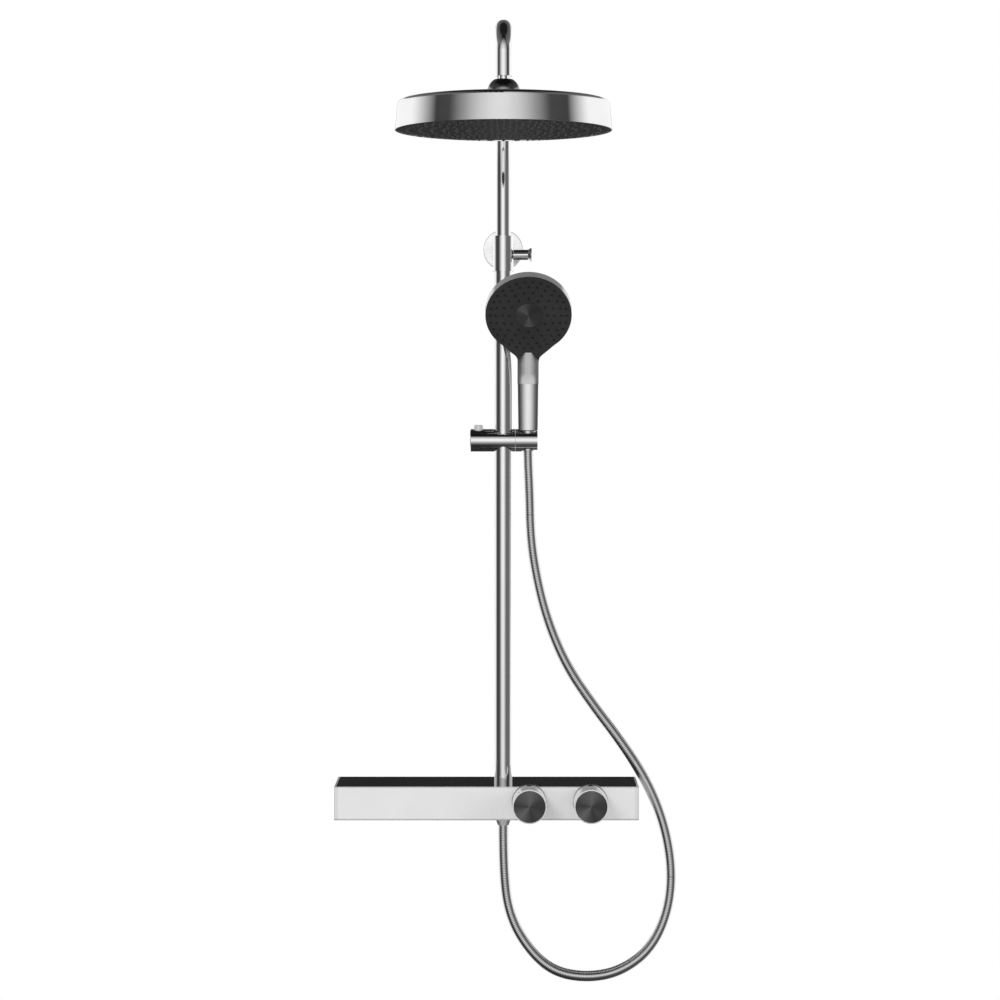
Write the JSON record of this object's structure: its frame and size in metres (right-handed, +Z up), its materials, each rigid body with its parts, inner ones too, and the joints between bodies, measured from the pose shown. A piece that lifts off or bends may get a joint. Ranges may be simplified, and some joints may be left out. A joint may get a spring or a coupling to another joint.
{
  "type": "rainfall shower column",
  "caption": "Thermostatic shelf mixer with a telescopic riser, a gooseneck arm and round rain head, a sliding hand shower and a metal-effect hose.",
  "frame": {"origin": "on the wall's face, midway between the two water inlets", "axes": "+X to the right as the user faces the column, +Y into the wall, +Z up"},
  "size_m": [0.4528, 0.583, 1.2334],
  "materials": {
    "chrome_metal": "polished chrome on brass or steel",
    "chrome_plated": "polished chrome plating on plastic",
    "shelf_glass": "near-black polished safety glass",
    "spray_black": "near-black satin plastic",
    "spun_metal": "dark metal, turned in fine circles",
    "hose_metal": "metal-effect hose, finely wound",
    "brass": "cast and turned brass",
    "steel": "stainless steel",
    "silicone": "grey silicone",
    "seal_rubber": "black rubber",
    "inner_plastic": "pale acetal",
    "grey_plastic": "dark grey cartridge plastic"
  },
  "bodies": {
    "column": {"inlet_unions": "brass", "wall_rosettes": "chrome_metal", "union_nuts": "chrome_metal", "filter_washers": "seal_rubber", "check_valves": "inner_plastic", "valve_body": "brass", "mixer_housing": "chrome_plated", "shelf_plate": "shelf_glass", "rear_cover": "grey_plastic", "left_end_cap": "chrome_plated", "right_end_cap": "chrome_plated", "housing_screws": "steel", "knob_base_rings": "chrome_plated", "flow_cartridge": "grey_plastic", "thermostat_cartridge": "grey_plastic", "hose_outlet": "brass", "riser_connector": "brass", "lower_riser": "chrome_metal", "guide_bush": "inner_plastic", "wall_plate": "steel", "wall_screws": "steel", "wall_escutcheon": "chrome_metal", "wall_bracket": "chrome_metal", "hose": "hose_metal", "hose_nut": "chrome_metal"},
    "temperature_dial": {"temperature_knob": "chrome_plated", "temperature_knob_face": "spun_metal", "temperature_spindle": "brass", "temperature_stop_spring": "steel"},
    "temperature_stop": {"temperature_stop_button": "spray_black"},
    "flow_dial": {"flow_knob": "chrome_plated", "flow_knob_face": "spun_metal", "flow_spindle": "brass", "flow_stop_spring": "steel"},
    "flow_stop": {"flow_stop_button": "spray_black"},
    "clamp_screw": {"set_knob": "chrome_metal"},
    "carrier": {"seal_carrier": "inner_plastic", "carrier_o_rings": "seal_rubber"},
    "arm": {"upper_riser": "chrome_metal", "ball_stem": "chrome_metal"},
    "joint_liner": {"ball_liner": "inner_plastic"},
    "joint_seal": {"ball_seal": "seal_rubber"},
    "rain_head": {"ball_collar": "chrome_metal", "rain_head_shell": "chrome_plated", "rain_head_face": "spray_black", "rain_head_nozzles": "silicone"},
    "slider_brake": {"slider_liner": "inner_plastic"},
    "slider": {"slider_body": "chrome_plated", "slider_end_cap": "chrome_plated", "release_spring": "steel", "holder_screw": "steel"},
    "release": {"release_button": "chrome_plated"},
    "holder": {"hand_shower_holder": "chrome_plated"},
    "hand_shower": {"hand_shower_shell": "chrome_plated", "handle_sleeve": "chrome_plated", "hand_shower_rim": "chrome_plated", "hand_shower_face": "spray_black", "hand_shower_nozzles": "silicone"},
    "spray_select": {"select_button": "spun_metal"},
    "cone_nut": {"hose_cone_nut": "chrome_metal"}
  },
  "joints": [
    {"name": "temperature_turn", "type": "hinge", "parent": "column", "child": "temperature_dial", "pos_m": [0.136, -0.13, 0.009], "axis": [0, 1, 0], "range_deg": [-60, 150]},
    {"name": "temperature_stop_press", "type": "slide", "parent": "temperature_dial", "child": "temperature_stop", "axis": [0, 0, 1], "range_m": [-0.002, 0], "stiffness_N_per_m": 600, "deforming": ["temperature_stop_spring"]},
    {"name": "flow_turn", "type": "hinge", "parent": "column", "child": "flow_dial", "pos_m": [0.056, -0.13, 0.009], "axis": [0, 1, 0], "range_deg": [-90, 90]},
    {"name": "flow_stop_press", "type": "slide", "parent": "flow_dial", "child": "flow_stop", "axis": [0, 0, 1], "range_m": [-0.002, 0], "stiffness_N_per_m": 600, "deforming": ["flow_stop_spring"]},
    {"name": "clamp_screw_turn", "type": "hinge", "parent": "column", "child": "clamp_screw", "pos_m": [0.045, -0.065, 0.729], "axis": [1, 0, 0], "range_deg": [0, 360]},
    {"name": "riser_height", "type": "slide", "parent": "column", "child": "carrier", "axis": [0, 0, 1], "range_m": [-0.1, 0.2]},
    {"name": "arm_swing", "type": "hinge", "parent": "carrier", "child": "arm", "pos_m": [0.022, -0.065, 0.5], "axis": [0, 0, 1], "range_deg": [-60, 60]},
    {"name": "head_tilt_forward", "type": "hinge", "parent": "arm", "child": "joint_liner", "pos_m": [0.022, -0.423, 0.909], "axis": [1, 0, 0], "range_deg": [-12, 12]},
    {"name": "head_tilt_sideways", "type": "hinge", "parent": "joint_liner", "child": "joint_seal", "pos_m": [0.022, -0.423, 0.909], "axis": [0, 1, 0], "range_deg": [-12, 12]},
    {"name": "head_spin", "type": "hinge", "parent": "joint_seal", "child": "rain_head", "pos_m": [0.022, -0.423, 0.909], "axis": [0, 0, 1], "continuous": true},
    {"name": "slider_height", "type": "slide", "parent": "column", "child": "slider_brake", "axis": [0, 0, 1], "range_m": [-0.33, 0.11], "deforming": ["hose"]},
    {"name": "slider_swing", "type": "hinge", "parent": "slider_brake", "child": "slider", "pos_m": [0.022, -0.065, 0.482], "axis": [0, 0, -1], "range_deg": [-30, 75]},
    {"name": "release_press", "type": "slide", "parent": "slider", "child": "release", "axis": [0, 0, 1], "range_m": [-0.0025, 0], "stiffness_N_per_m": 600, "deforming": ["release_spring"]},
    {"name": "holder_tilt", "type": "hinge", "parent": "slider", "child": "holder", "pos_m": [0.0385, -0.065, 0.482], "axis": [1, 0, 0], "range_deg": [-5, 35]},
    {"name": "hand_shower_lift", "type": "slide", "parent": "holder", "child": "hand_shower", "axis": [0, 0, 1], "range_m": [0, 0.04]},
    {"name": "spray_select_press", "type": "slide", "parent": "hand_shower", "child": "spray_select", "axis": [0, -0.848, -0.5299], "range_m": [-0.0015, 0], "stiffness_N_per_m": 600},
    {"name": "hose_swivel", "type": "hinge", "parent": "hand_shower", "child": "cone_nut", "pos_m": [0.055, -0.065, 0.48], "axis": [0, 0, 1], "continuous": true}
  ]
}
